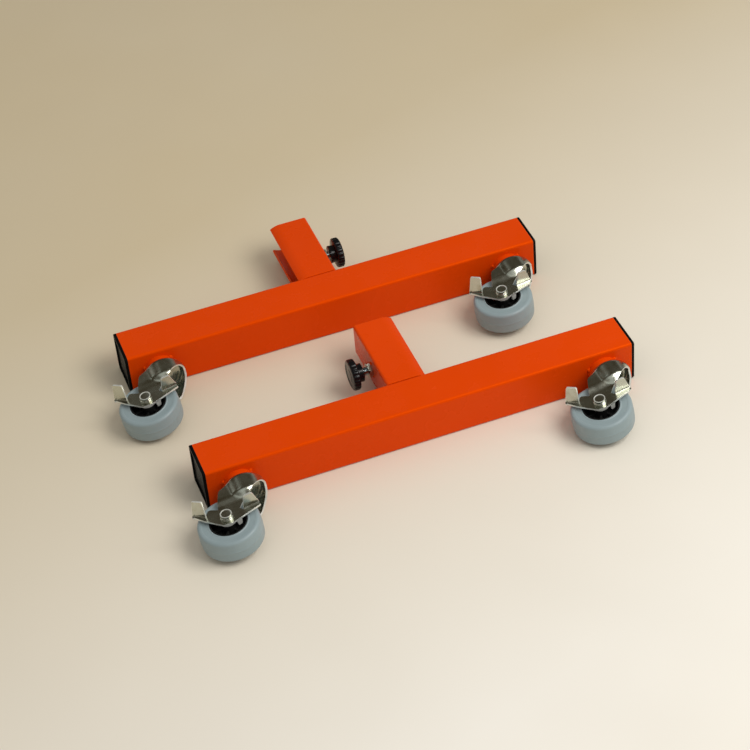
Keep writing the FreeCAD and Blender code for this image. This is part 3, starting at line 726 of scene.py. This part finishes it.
def add_axle(name, place):
    """Axle bolt: stepped collar over the lever and a wide round head, slightly dished, its top rim given the
    bright cut-edge material as a painted highlight.
    """
    collar = LEVER_HIGH + 0.1
    top = collar + AXLE_HEAD_TOP
    neck_r = AXLE_COLLAR_R - 0.6
    step_r = AXLE_COLLAR_R - 0.1
    dish_r = AXLE_HEAD_R - 1.3
    corners = [(AXLE_R, AXLE_END, 0.5), (AXLE_R, collar, 0),
               (AXLE_COLLAR_R, collar, 0.4), (AXLE_COLLAR_R, collar + 1.8, 0.4),
               (neck_r, collar + 2.0, 0.2), (neck_r, collar + 2.5, 0.2),
               (step_r, collar + 2.7, 0.3), (step_r, collar + 4.0, 0.5),
               (AXLE_HEAD_R - 0.4, collar + 4.2, 0.2), (AXLE_HEAD_R, collar + 4.6, 0.2),
               (AXLE_HEAD_R, top, 0.2), (dish_r + 0.2, top, 0.1),
               (dish_r, top - 0.5, 0.1), (0.05, top - 0.5, 0)]
    outline = turned_outline(corners, closed=False, steps=4)
    bm = bmesh.new()
    add_rows(bm, lathe_rows(outline, 64, Matrix.Identity(4)), around=True, cap_ends=True)
    # Painted highlight: the head's top rim takes the bright cut-edge material.
    for face in bm.faces:
        centre = face.calc_center_median()
        if centre.z > top - 0.6 and centre.xy.length > dish_r - 0.1:
            face.material_index = CUT_EDGE
    piece = make_piece(name + "_axle_bolt", bm, wheel_place(place), MATERIALS["zinc_plate"], name + "_fork",
                       name + "_axle")
    add_cut_edges(piece)


def screw_place(unit):
    """Matrix from the clamp screw's own millimetres, Z out through the knob, to the frame."""
    joint = JOINTS[unit + "_knob_turn"]
    inward = Vector(joint["axis"]).normalized()
    centre = Vector(joint["pos_m"])
    low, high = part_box(unit + "_knob")
    face = high.x if inward.x > 0 else low.x
    matrix = inward.to_track_quat("-Z", "Y").to_matrix().to_4x4()
    matrix.translation = Vector((face, centre.y, centre.z))
    return matrix @ Matrix.Scale(MM, 4)


def add_knob(unit):
    """Hand knob: boss, fluted rim and a slightly dished top with a raised centre."""
    top = KNOB_HEIGHT
    boss = [(STUD_R, 0, 0.4), (12.5, 0, 0.9), (12.0, 7.0, 1.2)]
    rim = [(18.0, 7.4, 0.8), (KNOB_R, 8.2, 2.2), (KNOB_R, top - 0.8, 2.6), (16.5, top, 1.5)]
    dish = [(14.5, top - 0.8, 1.0), (9.0, top - 0.5, 1.0), (7.6, top, 0.8), (0.05, top, 0)]
    outline = turned_outline(boss + rim + dish, closed=False, steps=5)

    def fluted(radius, height, angle):
        depth = FLUTE_DEPTH * max(0.0, (radius - FLUTES_START_R) / (KNOB_R - FLUTES_START_R))
        return radius - depth * (0.5 + 0.5 * math.cos(KNOB_FLUTES * angle)) ** 2

    bm = bmesh.new()
    add_rows(bm, lathe_rows(outline, 240, Matrix.Identity(4), fluted), around=True, cap_ends=True)
    make_piece(unit + "_knob_body", bm, screw_place(unit), MATERIALS["black_knob"], unit + "_clamp_screw",
               unit + "_knob", smooth_angle=50.0)


def add_screw(unit):
    """Clamp screw with a rolled thread and a plain tip that sits in the pad."""
    low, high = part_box(unit + "_stud")
    knob_low, knob_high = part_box(unit + "_knob")
    inward = JOINTS[unit + "_knob_turn"]["axis"][0]
    reach = (high.x - knob_high.x if inward > 0 else knob_low.x - low.x) / MM
    thread_end = STUD_TIP - reach
    in_knob = 4.0

    def threaded(radius, height, angle):
        if radius < STUD_R:
            return radius
        phase = (height / THREAD_PITCH + angle / (2 * math.pi)) % 1.0
        return radius - THREAD_DEPTH * min(1.0, max(0.0, 2.6 * abs(phase - 0.5) - 0.2))

    steps = int((in_knob - thread_end) / THREAD_STEP)
    outline = [(STUD_R, in_knob - THREAD_STEP * k) for k in range(steps + 1)]
    outline += [(STUD_R - 1, thread_end), (STUD_TIP_R, thread_end), (STUD_TIP_R, 0.4 - reach),
                (STUD_TIP_R - 0.4, -reach), (0.05, -reach)]
    bm = bmesh.new()
    add_rows(bm, lathe_rows(outline, 40, Matrix.Identity(4), threaded), around=True, cap_ends=True)
    make_piece(unit + "_screw", bm, screw_place(unit), MATERIALS["blue_zinc"], unit + "_clamp_screw",
               unit + "_stud", smooth_angle=60.0)


def add_bead(bm, start, run, side_a, side_b, rng):
    """Rippled fillet of weld along run, lying in the corner between two sides."""
    ripples = max(3, int(run.length / RIPPLE))
    count = ripples * 6
    rows = []
    for k in range(count + 1):
        ripple = abs(math.sin(math.pi * ripples * k / count))
        fade = min(1.0, 0.35 + 4.0 * min(k, count - k) / count)
        swell = BEAD_SIZE * fade * (0.82 + 0.16 * ripple + rng.uniform(-0.03, 0.03))
        centre = start + run * (k / count)
        row = [centre - side_a * 0.4 - side_b * 0.4]
        for i in range(7):
            turn = math.pi / 2 * i / 6
            reach_a = swell * math.cos(turn) ** 1.3
            reach_b = swell * math.sin(turn) ** 1.3
            row.append(centre + side_a * reach_a + side_b * reach_b)
        rows.append(row)
    add_rows(bm, rows, around=True, cap_ends=True)


def add_tack(bm, centre, outward, size, rng):
    """Drop of weld: a flattened lump with an uneven outline."""
    place = Matrix.Translation(centre) @ outward.to_track_quat("Z", "Y").to_matrix().to_4x4()
    phase = rng.uniform(0, 6.28)

    def lumpy(radius, height, angle):
        return radius * (1 + 0.10 * math.sin(2 * angle + phase) + 0.05 * math.sin(5 * angle - phase))

    outline = [(size * math.cos(math.pi / 2 * k / 7) + 0.02, size * 0.8 * math.sin(math.pi / 2 * k / 7))
               for k in range(8)]
    add_rows(bm, lathe_rows(outline, 20, place, lumpy), around=True)


def add_welds(unit):
    """Beads round the socket's foot and tacks round the bosses and the clamp nut."""
    rng = random.Random(unit)
    beam_low, beam_high = [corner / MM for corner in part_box(unit + "_crossbeam")]
    low, high = [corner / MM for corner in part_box(unit + "_socket")]
    nut_low, nut_high = [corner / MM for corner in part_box(unit + "_clamp_nut")]
    hand = JOINTS[unit + "_knob_turn"]["axis"][0]
    wall = low.x if hand > 0 else high.x
    lip = high.x if hand > 0 else low.x
    out = Vector((-hand, 0, 0))
    up_beam = Vector((0, 1, 0))
    bm = bmesh.new()
    foot = beam_high.y
    height = high.z - low.z
    add_bead(bm, Vector((wall, foot, low.z + BEAD_GAP)), Vector((0, 0, height - 2 * BEAD_GAP)),
             out, up_beam, rng)
    add_bead(bm, Vector((wall + BEAD_GAP * hand, foot, low.z)),
             Vector((lip - wall - (BEAD_GAP + LIP_GAP) * hand, 0, 0)), Vector((0, 0, -1)), up_beam, rng)
    add_bead(bm, Vector((wall + SOCKET_SHEET * hand, foot, low.z + INNER_GAP)),
             Vector((0, 0, height - 2 * INNER_GAP)), -out, up_beam, rng)
    nut_centre = (nut_low + nut_high) / 2
    for turn in (90, 210, 330):
        across = Vector((0, math.cos(math.radians(turn)), math.sin(math.radians(turn))))
        spot = Vector((wall, nut_centre.y, nut_centre.z)) + across * NUT_TACK_R
        add_tack(bm, spot, (out + across * 0.5).normalized(), NUT_TACK, rng)
    for castor in CASTORS:
        if castor.startswith(unit):
            swivel = Vector(JOINTS[castor + "_swivel"]["pos_m"]) / MM
            for turn in (160, 40, 280):
                across = Vector((math.cos(math.radians(turn)), 0, math.sin(math.radians(turn))))
                add_tack(bm, Vector((swivel.x, beam_low.y, swivel.z)) + across * BOSS_TACK_R,
                         (across * 0.8 - up_beam).normalized(), BOSS_TACK, rng)
    make_piece(unit + "_weld_beads", bm, Matrix.Scale(MM, 4), MATERIALS["orange_paint"], unit + "_unit",
               unit + "_welds", smooth_angle=60.0)


def soften_cad_edges():
    """Small bevels on the CAD parts that keep sharp turned or cut edges."""
    for name, obj in frame["nodes"].items():
        if name.endswith(("_clamp_nut", "_axle_nut", "_kingpin", "_race", "_hub")):
            add_bevel(obj, 0.35)


def add_floor():
    """Square of floor round the frame's origin."""
    half = FLOOR_SIZE / 2
    corners = [(-half, -half, 0), (half, -half, 0), (half, half, 0), (-half, half, 0)]
    mesh = bpy.data.meshes.new("floor")
    mesh.from_pydata(corners, [], [(0, 1, 2, 3)])
    mesh.materials.append(floor_surface())
    floor = bpy.data.objects.new("floor", mesh)
    bpy.context.scene.collection.objects.link(floor)


def add_camera():
    """Camera at the view's angle, rolled a little about its own axis."""
    level = Vector((math.cos(VIEW_AZIMUTH), math.sin(VIEW_AZIMUTH), 0))
    rise = VIEW_BACK.cross(level)
    right = level * math.cos(VIEW_ROLL) + rise * math.sin(VIEW_ROLL)
    up = VIEW_BACK.cross(right)
    data = bpy.data.cameras.new("camera")
    data.lens = LENS_MM
    data.sensor_width = SENSOR_MM
    camera = bpy.data.objects.new("camera", data)
    place = Matrix((right, up, VIEW_BACK)).transposed().to_4x4()
    place.translation = VIEW_TARGET + VIEW_BACK * VIEW_DISTANCE
    camera.matrix_world = place
    bpy.context.scene.collection.objects.link(camera)
    bpy.context.scene.camera = camera


def add_window():
    """Large soft light above the near right."""
    data = bpy.data.lights.new("window", "AREA")
    data.shape = "RECTANGLE"
    data.size, data.size_y = WINDOW_SIZE
    data.energy = WINDOW_POWER
    data.color = WINDOW_LIGHT
    light = bpy.data.objects.new("window", data)
    light.location = WINDOW_PLACE
    toward = Vector(WINDOW_TARGET) - Vector(WINDOW_PLACE)
    light.rotation_euler = toward.to_track_quat("-Z", "Y").to_euler()
    bpy.context.scene.collection.objects.link(light)


def reflected_room(tree):
    """Colour that shiny parts see: a dim room with a few pale patches and a dark wall."""
    coords = add_node(tree, "ShaderNodeTexCoord")
    mapping = add_node(tree, "ShaderNodeMapping", {"Vector": coords.outputs["Generated"],
                                                   "Location": (3.1, 1.7, 0.4), "Scale": (1.0, 1.0, 1.6)})
    noise = add_node(tree, "ShaderNodeTexNoise", {"Vector": mapping.outputs["Vector"], "Scale": 1.9,
                                                  "Detail": 1.5, "Roughness": 0.4})
    patches = map_range(tree, noise.outputs["Fac"], 0.50, 0.62, 0.0, 1.0)
    toward = add_node(tree, "ShaderNodeVectorMath", {0: coords.outputs["Generated"], 1: DARK_WALL},
                      operation="DOT_PRODUCT")
    open_side = map_range(tree, toward.outputs["Value"], 0.80, 0.96, 1.0, 0.05)
    lit = add_node(tree, "ShaderNodeMath", {0: patches, 1: open_side}, operation="MULTIPLY")
    return mix_color(tree, lit.outputs["Value"], MIRRORED_DARK, MIRRORED_PALE)


def add_room():
    """Even warm room light for everything, and the patchy room only for reflections."""
    world = bpy.data.worlds.new("room")
    world.use_nodes = True
    bpy.context.scene.world = world
    tree = world.node_tree
    tree.nodes.clear()
    even = add_node(tree, "ShaderNodeBackground", {"Color": ROOM_LIGHT, "Strength": ROOM_STRENGTH})
    patchy = add_node(tree, "ShaderNodeBackground", {"Color": reflected_room(tree),
                                                     "Strength": ROOM_STRENGTH})
    path = add_node(tree, "ShaderNodeLightPath")
    mix = add_node(tree, "ShaderNodeMixShader", {0: path.outputs["Is Glossy Ray"]})
    output = add_node(tree, "ShaderNodeOutputWorld")
    tree.links.new(even.outputs["Background"], mix.inputs[1])
    tree.links.new(patchy.outputs["Background"], mix.inputs[2])
    tree.links.new(mix.outputs["Shader"], output.inputs["Surface"])


dress_frame()
soften_cad_edges()
for castor in CASTORS:
    place = castor_place(castor)
    add_fork(castor, place)
    add_lever(castor, place)
    add_tyre(castor, place)
    add_axle(castor, place)
for unit in UNITS:
    add_knob(unit)
    add_screw(unit)
    add_welds(unit)
add_floor()
add_camera()
add_window()
add_room()
bpy.context.scene.view_settings.view_transform = "Standard"
